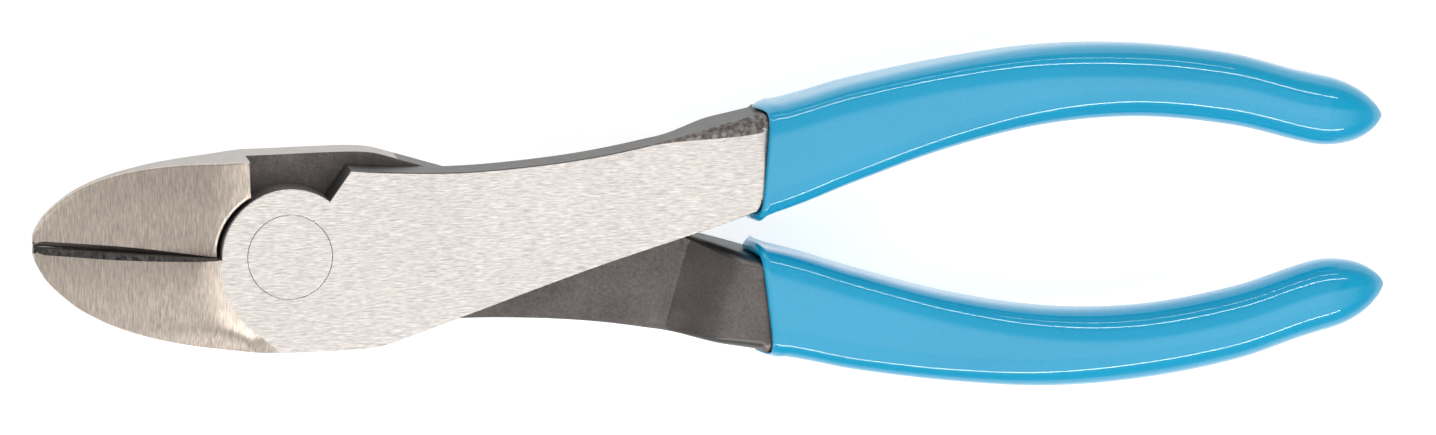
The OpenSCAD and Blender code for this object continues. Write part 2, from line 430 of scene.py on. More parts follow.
    def outline(self):
        """Points round the half, metal on the left of travel, each with the name of its edge."""
        size = self.size
        reach, half_w, boss_r = size["reach"], size["half_width"], size["boss_radius"]
        mouth = size["mouth_x"]
        jaw = [(-min(a, 1.0) * reach, -b * half_w) for a, b in curve(JAW_EDGE, 5)]
        points = [(p, "jaw") for p in jaw]
        points += [((x, -half_w), "side") for x in (RECESS_X, -4.0)]
        points += [(BORDER_END, "side"), ((2.0, -half_w), "side")]
        points += [(p, "side") for p in curve(SIDE_CORNER, 4)]
        points += [(p, "inner") for p in curve(ARM_INNER, 6)[1:] if p[0] < mouth]
        core = []
        for x in [*np.linspace(mouth, mouth + 3, 7), *np.arange(76, 150, 5), CORE_END]:
            middle, half, _, _ = section(x, size)
            arm = [curve_at(rows, len(rows) - 1 - (rows[-1][0] - x) / run)[1] if x < 70 else rows[-1][1]
                   for rows, run in ((ARM_INNER, 6.0), (ARM_OUTER, 8.0))]
            share = float(smooth_step(x, mouth + 0.2, mouth + 2.4))
            core.append((x, arm[0] * (1 - share) + (middle - half * size["core_share"]) * share,
                         arm[1] * (1 - share) + (middle + half * size["core_share"]) * share))
        points += [((x, low), "core") for x, low, _ in core]
        points += [((x, high), "core") for x, _, high in reversed(core)]
        points += [(p, "outer") for p in reversed(curve(ARM_OUTER, 6)) if p[0] < mouth]
        start = math.degrees(math.atan2(SHOULDER_FOOT[1], SHOULDER_FOOT[0])) - 0.2
        turns = np.radians(np.linspace(start, 180 + math.degrees(size["edge_open"]), 50))
        points += [((boss_r * math.cos(a), boss_r * math.sin(a)), "boss") for a in turns]
        cut = [self.recess_r] + list(np.arange(11, reach - 0.5, 0.75)) + [reach - 0.1]
        points += [((-x, -self.edge_y(x)), "cut") for x in cut]
        return [(rounded_point(p), edge) for p, edge in points]

    def groove_depth(self, width, thick):
        """Depth of the bevel beside a cutting edge: steeper on the rear half."""
        return min((0.9 if self.upper else 1.1) * width, 0.6 * thick)

    def rim(self, point, edge, top):
        """Width, depth, roundness and finish of the rim at an outline point.

        A roundness of 1 is a quarter circle and 0 is a straight bevel.
        """
        x = point[0]
        mouth = self.size["mouth_x"]
        from_tip = self.size["reach"] + x
        room = 0.3 + 0.7 * float(smooth_step(from_tip, 0, 2.2))
        thick = float(self.jaw_face(np.array(x), np.array(point[1])) - self.jaw_back(x, 0))
        if edge == "cut":
            tip = 0.55 + 0.45 * float(smooth_step(from_tip, 0, 1.5))
            groove = self.size["groove"] * float(smooth_step(-x, 9.5, 26.0)) ** 0.6 * tip + 0.03
            if top:
                # On the rear half the bevel takes the dark oxide as painted shade, standing for its dark
                # reflection.
                return groove, self.groove_depth(groove, thick), 0.0, BEVEL if self.upper else OXIDE_AND_GAP_SHADE
            return 0.15 * room, 0.15 * room, 0.0, JAW
        if edge == "jaw":
            if top:
                return 0.3 * room, 0.3 * room, 1.0, JAW
            size = 0.2 * room + 1.1 * float(smooth_step(-x, -SLOPE_START, 13)) * min(1, thick / 4) * room
            return size, size, 1.0, SIDE
        outside = top == self.upper
        behind = float(smooth_step(x, 52, mouth))
        if edge == "core":
            fade = float(smooth_step(x, mouth, mouth + 3))
            return 1.2 + 0.9 * (1 - fade) * (point[1] > 10) * outside, 1.2, 1.0, FORGED
        if edge == "outer" and outside:
            width, depth = (0.16 + growth * behind for growth in FORGED_CHAMFER)
            return width, depth, 0.6, FORGED if behind > 0 else ARM
        if edge in ("outer", "inner") and not outside:
            width, depth = (0.15 + growth * behind for growth in LAP_ROUND)
            return width, depth, 0.9, ARM
        return 0.14, 0.14, 1.0, GROUND if outside else OXIDE_AND_GAP_SHADE


# ---------------------------------------------------------------- meshes


class Shell:
    """A mesh under construction, whose faces share the vertices that they have in common."""

    def __init__(self):
        self.mesh = bmesh.new()
        self.known = {}

    def vertex(self, point):
        """The vertex at a point in millimetres, made at its first use."""
        key = tuple(round(float(c), 5) for c in point)
        if key not in self.known:
            self.known[key] = self.mesh.verts.new([c * MM for c in key])
        return self.known[key]

    def face(self, points, finish):
        """Adds a face, unless its points fall together into less than a triangle."""
        corners = []
        for point in points:
            corner = self.vertex(point)
            if corner not in corners:
                corners.append(corner)
        if len(corners) > 2:
            made = self.mesh.faces.new(corners)
            made.material_index = finish
            made.smooth = True


def miters(loop):
    """For each point of a loop, the way into the metal, long enough to offset both its edges by 1."""
    loop = np.asarray(loop, float)
    run = np.roll(loop, -1, axis=0) - loop
    run /= np.linalg.norm(run, axis=1)[:, None]
    normal = np.stack([-run[:, 1], run[:, 0]], -1)
    both = normal + np.roll(normal, 1, axis=0)
    shrink = 1 + (normal * np.roll(normal, 1, axis=0)).sum(1)
    return both / np.maximum(shrink, 0.35)[:, None]


def rim_levels(points, rims):
    """Plan points and drops of each level of a rim, from the face out to the wall."""
    inward = miters(points)
    plans, drops = [], []
    for level in range(RIM_STEPS + 1):
        share = level / RIM_STEPS
        turn = share * math.pi / 2
        plan, drop = [], []
        for point, way, (width, depth, roundness, _) in zip(points, inward, rims):
            offset = width * ((1 - share) * (1 - roundness) + (1 - math.sin(turn)) * roundness)
            plan.append((point[0] + way[0] * offset, point[1] + way[1] * offset))
            drop.append(depth * (share * (1 - roundness) + (1 - math.cos(turn)) * roundness))
        plans.append(plan)
        drops.append(drop)
    return plans, drops


def add_side(shell, shape, loops, top, stepped, extra_lines, extra_points, finishes):
    """Adds the top or the bottom of a piece and returns, for each loop, its outermost levels.

    loops holds (points, rims) pairs. finishes gives the finish in the jaw and in the plate.
    """
    sign = -1 if top else 1
    coords, edges, rings = [], [], []
    known = {}

    def index_of(point):
        key = rounded_point(point)
        if key not in known:
            known[key] = len(coords)
            coords.append(key)
        return known[key]

    outer_levels = []
    for points, rims in loops:
        plans, drops = rim_levels(points, rims)
        inner = plans[0]
        x, y = np.array(inner).T
        jaw_z, plate_z = shape.height(x, y, top)
        middle = (np.array(inner) + np.roll(np.array(inner), -1, axis=0)) / 2
        in_jaw = shape.zone(middle[:, 0], middle[:, 1], stepped)
        count = len(points)
        outer = []
        for i in range(count):
            j = (i + 1) % count
            heights = jaw_z if in_jaw[i] else plate_z
            for level in range(RIM_STEPS):
                quad = [(*plans[k][n], heights[n] + sign * drops[k][n])
                        for k, n in ((level + 1, i), (level + 1, j), (level, j), (level, i))]
                shell.face(quad if top else quad[::-1], rims[i][3])
            outer.append((heights[i] + sign * drops[-1][i], heights[j] + sign * drops[-1][j]))
        outer_levels.append(outer)
        ring = [index_of(p) for p in inner]
        rings.append(inner)
        edges += [(ring[i], ring[(i + 1) % count]) for i in range(count)]
    for line in extra_lines:
        ids = [index_of(p) for p in line]
        edges += list(zip(ids[:-1], ids[1:]))
    taken = np.array(coords)
    for point in extra_points:
        if np.hypot(*(taken - point).T).min() > 0.3:
            index_of(point)
    out, _, faces, origins, _, _ = delaunay_2d_cdt([Vector(c) for c in coords], edges, [], 0, 1e-6, True)
    plan = np.array([coords[ids[0]] if ids else tuple(p) for p, ids in zip(out, origins)])
    jaw_z, plate_z = shape.height(plan[:, 0], plan[:, 1], top)
    faces = np.array(faces)
    centre = plan[faces].mean(1)
    keep = inside(rings[0], *centre.T)
    for hole in rings[1:]:
        keep &= ~inside(hole, *centre.T)
    in_jaw = shape.zone(*centre.T, stepped)
    for corners, kept, jaw in zip(faces, keep, in_jaw):
        if kept:
            heights = jaw_z if jaw else plate_z
            points = [(*plan[c], heights[c]) for c in corners]
            shell.face(points if top else points[::-1], finishes[0 if jaw else 1])
    return outer_levels


def add_walls(shell, points, top_levels, bottom_levels, finish_of):
    """Joins the rims of the top and the bottom all round one loop."""
    count = len(points)
    found = [set() for _ in points]
    for levels in (top_levels, bottom_levels):
        for i, (here, there) in enumerate(levels):
            found[i].add(round(float(here), 5))
            found[(i + 1) % count].add(round(float(there), 5))
    for i in range(count):
        j = (i + 1) % count
        (top_i, top_j), (low_i, low_j) = top_levels[i], bottom_levels[i]
        rise = [z for z in sorted(found[j]) if low_j + 1e-4 < z < top_j - 1e-4]
        fall = [z for z in sorted(found[i], reverse=True) if low_i + 1e-4 < z < top_i - 1e-4]
        column = [(*points[j], z) for z in [low_j, *rise, top_j]]
        column += [(*points[i], z) for z in [top_i, *fall, low_i]]
        shell.face(column, finish_of(i))


def add_step(shell, shape, ends, chain, top, finish):
    """Upright wall between the jaw and the recess beside it, along the step line."""
    sign = -1 if top else 1
    first, last = ends
    line = [*first[::-1], *((p, 0.0) for p in chain), *last]
    base = [first[0][0]] * len(first) + list(chain) + [last[0][0]] * len(last)
    x, y = np.array(base).T
    jaw_z, plate_z = shape.height(x, y, top)
    for n in range(len(line) - 1):
        quad = []
        for k in (n, n + 1):
            place, drop = line[k]
            quad.append(((*place, jaw_z[k] + sign * drop), (*place, plate_z[k] + sign * drop)))
        (jaw_a, plate_a), (jaw_b, plate_b) = quad
        wall = [plate_a, jaw_a, jaw_b, plate_b]
        shell.face(wall if top else wall[::-1], finish)


def circle_points(radius, count, metal_inside):
    """Points round a circle about the pivot axis, metal on the left of travel."""
    turns = np.arange(count) * 2 * math.pi / count * (1 if metal_inside else -1)
    return [(radius * math.cos(a), radius * math.sin(a)) for a in turns]


def close_piece(shell, name, materials, body, node, mirror=False):
    """Turns a shell into a finished object that stands for a CAD node."""
    mesh = shell.mesh
    bmesh.ops.remove_doubles(mesh, verts=mesh.verts, dist=0.002 * MM)
    bmesh.ops.dissolve_degenerate(mesh, edges=mesh.edges, dist=0.0005 * MM)
    if mirror:
        for vert in mesh.verts:
            vert.co.y = -vert.co.y
        bmesh.ops.reverse_faces(mesh, faces=mesh.faces)
    open_edges = [e for e in mesh.edges if not e.is_manifold]
    if open_edges:
        places = sorted({tuple(round(c / MM, 2) for c in e.verts[0].co) for e in open_edges})
        raise RuntimeError(f"{name} has {len(open_edges)} open edges, at {places[:12]}")
    for edge in mesh.edges:
        a, b = edge.link_faces
        bent = edge.calc_face_angle(0) > SHARP_TURN
        edge.smooth = not (bent or a.material_index != b.material_index)
    data = bpy.data.meshes.new(name)
    mesh.to_mesh(data)
    mesh.free()
    piece = bpy.data.objects.new(name, data)
    bpy.context.scene.collection.objects.link(piece)
    weighted = piece.modifiers.new("Flat faces", "WEIGHTED_NORMAL")
    weighted.keep_sharp = True
    for material in materials:
        data.materials.append(material)
    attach(piece, body)
    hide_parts(node)
    return piece


def recess_lines(shape):
    """Lines on the jaw beside the recess, which carry its worn edge."""
    lines = []
    for offset in (0.12, WORN_EDGE):
        grow = 1 + offset / shape.recess_r
        arc = [(p[0] * grow, p[1] * grow) for p in shape.step[2:]
               if p[0] < RECESS_X - 0.01 and abs(p[1]) < 8.7]
        wall = [(RECESS_X - offset, p[1]) for p in shape.step[ARC_POINTS:-1]]
        lines.append([p for p in arc if p[0] < RECESS_X - offset] + wall)
    return lines


def ramp_points(ring):
    """Points inside a ring, in rows along the crease and over the ramp behind it."""
    cos, sin = math.cos(CREASE_TURN), math.sin(CREASE_TURN)
    points = [(CREASE_FOOT[0] + run * cos - along * sin, CREASE_FOOT[1] - 3 + run * sin + along * cos)
              for run in RAMP_ROWS for along in np.arange(-4, 21, GRID_PITCH)]
    return [p for p in points if inside(ring, *p)]


def build_half(settings, upper, name, body, node):
    """Builds one forged half: jaw, boss, arm and the core inside its grip."""
    shape = HalfShape(settings, upper)
    size = shape.size
    outline = shape.outline()
    points = [p for p, _ in outline]
    names = [e for _, e in outline]
    hole_r = size["rivet_radius"] + (RIVET_FIT if upper else size["rivet_play"])
    hole = circle_points(hole_r, RIVET_SIDES, False)
    shell = Shell()
    levels = {}
    cut_start = points.index(shape.foot)
    side_start = next(i for i, p in enumerate(points) if p[0] == RECESS_X)
    grid = [(x, y) for x in np.arange(-34.6, RECESS_X, GRID_PITCH) for y in np.arange(-13.6, 0, GRID_PITCH)]
    for top in (True, False):
        stepped = top != upper
        plate = OXIDE_AND_GAP_SHADE if stepped else GROUND
        rims = [shape.rim(p, e, top) for p, e in outline]
        hole_rims = [(*RIVET_RIM, plate)] * len(hole)
        plans, drops = rim_levels(points, rims)
        ring = plans[0]
        lines, extra = [], [p for p in grid if inside(ring, *p)]
        if stepped:
            chain = [ring[cut_start]] + shape.step[1:-1] + [ring[side_start]]
            lines = [chain, *recess_lines(shape)]
            extra += ramp_points(ring)
        elif upper:
            border = [p for p in shape.border[2:] if inside(ring, *p)]
            corner = ring[cut_start - 1]
            end = ring[points.index(BORDER_END)]
            lines.append([corner] + [p for p in border if p[1] < corner[1] - 0.3] + [end])
        levels[top] = add_side(
            shell, shape, [(points, rims), (hole, hole_rims)], top, stepped, lines, extra, (JAW, plate))
        if stepped:
            ends = [[(plans[k][i], drops[k][i]) for k in range(RIM_STEPS + 1)]
                    for i in (cut_start, side_start)]
            # The step wall faces the boss across a narrow gap; its dark oxide along the arc is painted
            # shade of that gap.
            add_step(shell, shape, ends, shape.step[1:-1], top, OXIDE_AND_GAP_SHADE)

    def wall_finish(i):
        """Finish of the wall below an outline point."""
        # Walls of the boss and the cutting edges take the dark oxide as painted shade of the narrow gaps
        # beside them; the core's walls hide inside the grip.
        if names[i] in ("boss", "core", "cut"):
            return OXIDE_AND_GAP_SHADE
        return ARM if names[i] in ("outer", "inner") else SIDE

    add_walls(shell, points, levels[True][0], levels[False][0], wall_finish)
    add_walls(shell, hole, levels[True][1], levels[False][1], lambda i: OXIDE_AND_GAP_SHADE)
    return close_piece(shell, name, steel_materials(settings), body, node, mirror=not upper)


class DiscShape:
    """A round piece with flat ends, in the form that add_side reads."""

    def __init__(self, low, high):
        self.low, self.high = low, high

    def height(self, x, y, top):
        """Height of an end, twice, as a half has one for its jaw and one for its plate."""
        level = np.full(np.shape(x), self.high if top else self.low)
        return level, level

    def zone(self, x, y, stepped):
        """False everywhere: a disc has no jaw."""
        return np.zeros(np.shape(x), bool)


def build_rivet(settings):
    """Builds the pivot rivet, ground flush with both faces of the joint."""
    size = in_mm(settings.joint)
    shell = Shell()
    ring = circle_points(size["rivet_radius"] - RIVET_FIT, RIVET_SIDES, True)
    shape = DiscShape(0.0, size["thickness"])
    rims = [(*RIVET_RIM, GROUND)] * len(ring)
    levels = [add_side(shell, shape, [(ring, rims)], top, False, [], [], (GROUND, GROUND))
              for top in (True, False)]
    add_walls(shell, ring, levels[0][0], levels[1][0], lambda i: SIDE)
    return close_piece(
        shell, "rivet_ground", steel_materials(settings), "front", "pivot_rivet")


# ---------------------------------------------------------------- grips


def grip_stations(settings):
    """Rings of a sleeve from the bottom of its socket, round the lip and along the skin to the tip.

    Each row is x, y, z of the middle, half width, half thickness, roundness power, lean and flare.
    The flare is how far the sides of the mouth reach past its flats, towards the head.
    """
    size = {**in_mm(settings.joint), **in_mm(settings.handle)}
    mouth, end = size["mouth_x"], size["end_x"]
    share = size["core_share"]

    def core_row(x):
        """A ring of the socket, just clear of the metal core."""
        middle, half_w, lift, half_t = section(x, size)
        sizes = [half_w * share + CORE_PLAY, half_t * share + CORE_PLAY]
        return [x, middle, lift, *sizes, SOCKET_POWER, 0.0, 0.0]

    def skin_row(x, scale=1.0):
        """A ring of the outer skin, which is squarer, slanted and wider near the mouth."""
        middle, half_w, lift, half_t = section(x, size)
        power = SKIN_POWER + MOUTH_POWER * float(1 - smooth_step(x, mouth, mouth + 60))
        lean = MOUTH_LEAN * float(1 - smooth_step(x, mouth, mouth + 14))
        flare = MOUTH_FLARE * float(1 - smooth_step(x, mouth + 0.5, mouth + 9))
        bead = LIP_BEAD * float(1 - smooth_step(x, mouth + 1.2, mouth + 3.2))
        fit = SKIN_FIT * scale
        return [x, middle, lift, half_w * (fit + bead), half_t * fit, power, lean, flare]

    rows = [core_row(CORE_END + 0.06), core_row(CORE_END + 0.05)]
    rows[0][3:5] = [0.0, 0.0]
    rows += [core_row(x) for x in np.arange(147, mouth + 3, -6)]
    for x, blend in ((mouth + 2.6, 0.5), (mouth + 1.5, 1.0)):
        row = core_row(x)
        for k, value in enumerate(MOUTH_SOCKET, 1):
            row[k] += (value - row[k]) * blend
        row[6:] = [MOUTH_LEAN, MOUTH_FLARE]
        rows.append(row)
    skin = skin_row(mouth)[1:6]
    for t in (0.0, 0.12, 0.32, 0.55, 0.8, 1.0):
        x = mouth + 1.2 - 0.75 * math.sin(math.pi * t)
        sizes = [a + (b - a) * t for a, b in zip((*MOUTH_SOCKET, LIP_POWER), skin)]
        rows.append([x, *sizes, MOUTH_LEAN, MOUTH_FLARE])
    start = mouth + 1.7
    rows += [skin_row(start + (end - TIP_LENGTH - mouth - 1.7) * t) for t in np.linspace(0, 1, 60)]
    # The tip closes along a slightly pointed curve, its rings closer together towards the end.
    for t in np.linspace(0.04, 1, 30):
        u = math.sin(math.pi / 2 * t)
        rows.append(skin_row(end - 0.01 - TIP_LENGTH * (1 - u), max(0.0, 1 - u**2.6) ** 0.72))
    return rows


def path_object(name, rows, lower):
    """A bare line whose points carry each ring's sizes, for the sleeve nodes to read."""
    data = bpy.data.meshes.new(name)
    thick = RIVET_HIGH.z
    places = [(r[0] * MM, -r[1] * MM, thick - r[2] * MM) if lower else tuple(c * MM for c in r[:3])
              for r in rows]
    data.from_pydata(places, [(i, i + 1) for i in range(len(rows) - 1)], [])
    for label, column, unit in RING_SIZES:
        layer = data.attributes.new(label, "FLOAT", "POINT")
        side = -1 if lower and label == "lean" else 1
        layer.data.foreach_set("value", [float(r[column]) * unit * side for r in rows])
    piece = bpy.data.objects.new(name, data)
    bpy.context.scene.collection.objects.link(piece)
    return piece


class Wires:
    """Short calls for building a node tree."""

    def __init__(self, tree):
        self.tree = tree

    def add(self, kind, **options):
        """A new node with these options."""
        node = self.tree.nodes.new(kind)
        for key, value in options.items():
            setattr(node, key, value)
        return node

    def put(self, value, socket):
        """Feeds a socket from another one, or sets it to a constant."""
        if isinstance(value, bpy.types.NodeSocket):
            self.tree.links.new(value, socket)
        else:
            socket.default_value = value

    def math(self, operation, *values):
        """The output of a math node fed with these values."""
        node = self.add("ShaderNodeMath", operation=operation)
        for value, socket in zip(values, node.inputs):
            self.put(value, socket)
        return node.outputs[0]


def sleeve_tree():
    """Node group that sweeps a rounded section along a line whose points carry the sizes."""
    tree = bpy.data.node_groups.new("Grip sleeve", "GeometryNodeTree")
    face = tree.interface
    face.new_socket("Path", in_out="INPUT", socket_type="NodeSocketGeometry")
    sides = face.new_socket("Sides", in_out="INPUT", socket_type="NodeSocketInt")
    sides.default_value = 64
    vinyl = face.new_socket("Vinyl", in_out="INPUT", socket_type="NodeSocketMaterial")
    face.new_socket("Sleeve", in_out="OUTPUT", socket_type="NodeSocketGeometry")
    w = Wires(tree)
    given, result = w.add("NodeGroupInput"), w.add("NodeGroupOutput")
    size = w.add("GeometryNodeAttributeDomainSize", component="MESH")
    w.put(given.outputs["Path"], size.inputs[0])
    columns = w.math("ADD", given.outputs["Sides"], 1.0)
    grid = w.add("GeometryNodeMeshGrid")
    w.put(1.0, grid.inputs["Size X"])
    w.put(1.0, grid.inputs["Size Y"])
    w.put(size.outputs["Point Count"], grid.inputs["Vertices X"])
    w.put(columns, grid.inputs["Vertices Y"])
    index = w.add("GeometryNodeInputIndex").outputs[0]
    ring = w.math("FLOOR", w.math("DIVIDE", w.math("ADD", index, 0.5), columns))
    step = w.math("SUBTRACT", index, w.math("MULTIPLY", ring, columns))
    step = w.math("MULTIPLY", w.math("LESS_THAN", step, given.outputs["Sides"]), step)
    turn = w.math("MULTIPLY", w.math("DIVIDE", step, given.outputs["Sides"]), 2 * math.pi)

    def at_ring(kind, value):
        """The path's value at the ring that a corner belongs to."""
        node = w.add("GeometryNodeSampleIndex", data_type=kind, domain="POINT")
        w.put(given.outputs["Path"], node.inputs["Geometry"])
        w.put(value, node.inputs["Value"])
        w.put(ring, node.inputs["Index"])
        return node.outputs[0]

    def stored(label):
        """One of the sizes that the path's points carry."""
        node = w.add("GeometryNodeInputNamedAttribute", data_type="FLOAT")
        w.put(label, node.inputs["Name"])
        return at_ring("FLOAT", node.outputs["Attribute"])

    power = w.math("DIVIDE", 2.0, stored("power"))

    def swell(value):
        """A sine or cosine raised so that the round section turns squarer."""
        grown = w.math("POWER", w.math("ABSOLUTE", value), power)
        return w.math("MULTIPLY", w.math("SIGN", value), grown)

    across = w.math("MULTIPLY", swell(w.math("COSINE", turn)), stored("half_width"))
    rise = swell(w.math("SINE", turn))
    through = w.math("MULTIPLY", rise, stored("half_thick"))
    along = w.math("MULTIPLY", across, stored("lean"))
    reach = w.math("MULTIPLY", w.math("SUBTRACT", 1.0, w.math("ABSOLUTE", rise)), stored("flare"))
    along = w.math("SUBTRACT", along, reach)
    offset = w.add("ShaderNodeCombineXYZ")
    for value, socket in zip((along, across, through), offset.inputs):
        w.put(value, socket)
    middle = at_ring("FLOAT_VECTOR", w.add("GeometryNodeInputPosition").outputs[0])
    place = w.add("ShaderNodeVectorMath", operation="ADD")
    w.put(middle, place.inputs[0])
    w.put(offset.outputs[0], place.inputs[1])
    moved = w.add("GeometryNodeSetPosition")
    w.put(grid.outputs["Mesh"], moved.inputs["Geometry"])
    w.put(place.outputs[0], moved.inputs["Position"])
    closed = w.add("GeometryNodeMergeByDistance")
    w.put(moved.outputs[0], closed.inputs["Geometry"])
    w.put(0.001 * MM, closed.inputs["Distance"])
    real = w.add("GeometryNodeRealizeInstances")
    w.put(closed.outputs[0], real.inputs[0])
    painted = w.add("GeometryNodeSetMaterial")
    w.put(real.outputs[0], painted.inputs["Geometry"])
    w.put(given.outputs["Vinyl"], painted.inputs["Material"])
    w.put(painted.outputs[0], result.inputs[0])
    return tree, {"sides": sides.identifier, "vinyl": vinyl.identifier}


def build_grip(settings, tree, keys, name, node, body, lower, vinyl):
    """Sweeps one vinyl sleeve and makes it a plain mesh."""
    path = path_object(name + "_path", grip_stations(settings), lower)
    modifier = path.modifiers.new("Sleeve", "NODES")
    modifier.node_group = tree
    modifier[keys["sides"]] = settings.handle.sides
    modifier[keys["vinyl"]] = vinyl
    graph = bpy.context.evaluated_depsgraph_get()
    data = bpy.data.meshes.new_from_object(path.evaluated_get(graph))
    bpy.data.objects.remove(path)
    mesh = bmesh.new()
    mesh.from_mesh(data)
    bmesh.ops.remove_doubles(mesh, verts=mesh.verts, dist=0.002 * MM)
    bmesh.ops.dissolve_degenerate(mesh, edges=mesh.edges, dist=0.001 * MM)
    bmesh.ops.recalc_face_normals(mesh, faces=mesh.faces)
    if any(not e.is_manifold for e in mesh.edges):
        raise RuntimeError(f"{name} isn't closed")
    if mesh.calc_volume(signed=True) < 0:
        bmesh.ops.reverse_faces(mesh, faces=mesh.faces)
    for face in mesh.faces:
        face.smooth = True
    mesh.to_mesh(data)
    mesh.free()
    data.name = name
    data.materials.clear()
    data.materials.append(vinyl)
    piece = bpy.data.objects.new(name, data)
    bpy.context.scene.collection.objects.link(piece)
    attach(piece, body)
    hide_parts(node)
    return piece


# ---------------------------------------------------------------- materials


def new_material(name):
    """An empty node material, its short calls, its shader and its Object coordinates."""
    material = bpy.data.materials.get(name)
    if material:
        return material, None, None, None
    material = bpy.data.materials.new(name)
    material.use_nodes = True
    w = Wires(material.node_tree)
    shader = material.node_tree.nodes["Principled BSDF"]
    place = w.add("ShaderNodeTexCoord").outputs["Object"]
    return material, w, shader, place


def noise(w, place, scale, detail, rough=0.55):
    """Noise whose grain is 1 / scale metres along each axis, from 0 to 1."""
    mapping = w.add("ShaderNodeMapping")
    w.put(place, mapping.inputs["Vector"])
    mapping.inputs["Scale"].default_value = scale
    texture = w.add("ShaderNodeTexNoise")
    w.put(mapping.outputs[0], texture.inputs["Vector"])
    texture.inputs["Scale"].default_value = 1.0
    texture.inputs["Detail"].default_value = detail
    texture.inputs["Roughness"].default_value = rough
    return texture.outputs["Fac"]


def spread(w, value, low, high, to_low, to_high):
    """Maps a value from one range to another."""
    node = w.add("ShaderNodeMapRange", clamp=True)
    for entry, socket in zip((value, low, high, to_low, to_high), node.inputs):
        w.put(entry, socket)
    return node.outputs[0]


def tinted(w, colour, factor):
    """A colour made darker or lighter by a factor that varies over the surface."""
    node = w.add("ShaderNodeVectorMath", operation="SCALE")
    node.inputs[0].default_value = colour
    w.put(factor, node.inputs["Scale"])
    return node.outputs[0]


def bumped(w, shader, height, depth):
    """Bump of a given depth, in metres."""
    node = w.add("ShaderNodeBump")
    node.inputs["Strength"].default_value = 1.0
    node.inputs["Distance"].default_value = depth
    w.put(height, node.inputs["Height"])
    w.put(node.outputs[0], shader.inputs["Normal"])


def ground_steel(name, colour, grain, coarse, contrast, roughness, depth):
    """Steel with fine scratches along one direction."""
    material, w, shader, place = new_material(name)
    if not w:
        return material
    fine = noise(w, place, grain, 2.0)
    broad = noise(w, place, coarse, 3.0)
    cloud = noise(w, place, (60, 60, 60), 2.0)
    lines = w.math("ADD", w.math("MULTIPLY", fine, 0.55), w.math("MULTIPLY", broad, 0.45))
    shade = spread(w, lines, 0.32, 0.68, 1 - contrast, 1 + contrast * 0.4)
    shade = w.math("MULTIPLY", shade, spread(w, cloud, 0.3, 0.7, 0.97, 1.02))
    w.put(tinted(w, colour, shade), shader.inputs["Base Color"])
    shader.inputs["Metallic"].default_value = 1.0
    w.put(spread(w, lines, 0.3, 0.7, roughness + 0.06, roughness - 0.04), shader.inputs["Roughness"])
    bumped(w, shader, lines, depth)
    return material


def rough_steel(name, colour, roughness, metallic, pit_scale, contrast, depth):
    """Oxidised or forged steel with pits and worn spots."""
    material, w, shader, place = new_material(name)
    if not w:
        return material
    pits = noise(w, place, (pit_scale,) * 3, 4.0, 0.65)
    cloud = noise(w, place, (220, 220, 220), 3.0)
    shade = spread(w, pits, 0.38, 0.66, 1 - contrast, 1 + contrast)
    shade = w.math("MULTIPLY", shade, spread(w, cloud, 0.3, 0.7, 0.85, 1.15))
    w.put(tinted(w, colour, shade), shader.inputs["Base Color"])
    shader.inputs["Metallic"].default_value = metallic
    w.put(spread(w, pits, 0.3, 0.7, roughness + 0.1, roughness - 0.1), shader.inputs["Roughness"])
    bumped(w, shader, pits, depth)
    return material


def steel_materials(settings):
    """The finishes of the metal pieces, in the order of their material indices."""
    finish = settings.finish
    return [
        ground_steel(
            "ground_lengthwise", finish.ground, grain=(420, 8500, 8500), coarse=(900, 4600, 4600),
            contrast=0.42, roughness=0.36, depth=0.012 * MM),
        ground_steel(
            "ground_across", finish.jaw, grain=(7000, 420, 420), coarse=(3600, 800, 800),
            contrast=0.42, roughness=0.4, depth=0.03 * MM),
        ground_steel(
            "side_satin", finish.side, grain=(300, 300, 3600), coarse=(500, 500, 1800),
            contrast=0.1, roughness=0.38, depth=0.004 * MM),
        ground_steel(
            "arm_satin", finish.arm, grain=(300, 300, 3600), coarse=(500, 500, 1800),
            contrast=0.14, roughness=0.42, depth=0.004 * MM),
        # Real oxide inside the joint, and also painted shade on the gap walls and on the rear cutting
        # bevel.
        rough_steel(
            "black_oxide", finish.oxide, roughness=0.55, metallic=0.55, pit_scale=2600,
            contrast=0.14, depth=0.004 * MM),
        rough_steel(
            "forged_skin", finish.forged, roughness=0.5, metallic=0.8, pit_scale=1300,
            contrast=0.5, depth=0.05 * MM),
        ground_steel(
            "cutting_bevel", finish.arm, grain=(2600, 900, 900), coarse=(1400, 900, 900),
            contrast=0.9, roughness=0.3, depth=0.06 * MM),
    ]


def vinyl_material(settings):
    """Glossy dipped vinyl with a slightly uneven skin."""
    material, w, shader, place = new_material("dipped_vinyl")
    if not w:
        return material
    waves = noise(w, place, (22, 60, 60), 2.0)
    mottle = noise(w, place, (1500, 1500, 1500), 3.0)
    shade = spread(w, waves, 0.3, 0.7, 0.95, 1.05)
    shade = w.math("MULTIPLY", shade, spread(w, mottle, 0.3, 0.7, 0.97, 1.03))
    w.put(tinted(w, settings.finish.vinyl, shade), shader.inputs["Base Color"])
    w.put(spread(w, mottle, 0.3, 0.7, 0.3, 0.4), shader.inputs["Roughness"])
    shader.inputs["IOR"].default_value = 1.5
    shader.inputs["Specular IOR Level"].default_value = 0.15
    shader.inputs["Coat Weight"].default_value = 1.0
    shader.inputs["Coat Roughness"].default_value = 0.04
    ripple = noise(w, place, (35, 260, 260), 2.0)
    bumped(w, shader, ripple, 0.1 * MM)
    return material


# ---------------------------------------------------------------- stage


